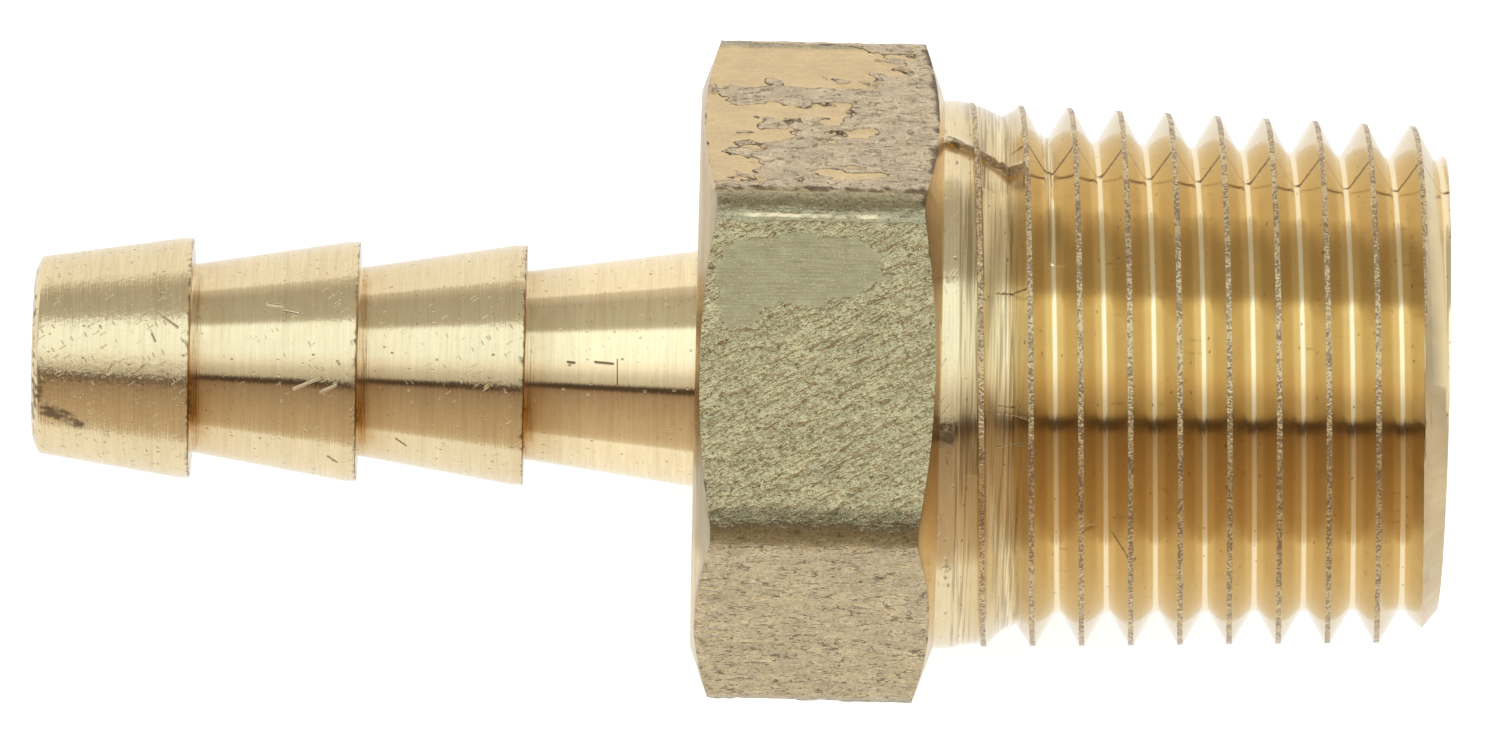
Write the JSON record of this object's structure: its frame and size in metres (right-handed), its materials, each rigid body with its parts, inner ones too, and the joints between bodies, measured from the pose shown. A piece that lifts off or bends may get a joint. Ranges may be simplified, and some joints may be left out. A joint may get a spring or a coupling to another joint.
{
  "type": "hose barb tail",
  "caption": "Turned brass hose barb tail with a three-barb spigot, a hexagon with rounded corners and a male taper pipe thread, drilled through.",
  "frame": {"origin": "centre of the bore at the thread end face", "axes": "+X along the bore towards the thread end, the hose end towards -X; hexagon flats face +Z and -Z, hexagon corners point to +Y and -Y"},
  "size_m": [0.027, 0.0126, 0.0112],
  "materials": {
    "brass": "machined"
  },
  "bodies": {
    "root": {"fitting_body": "brass"}
  },
  "joints": []
}
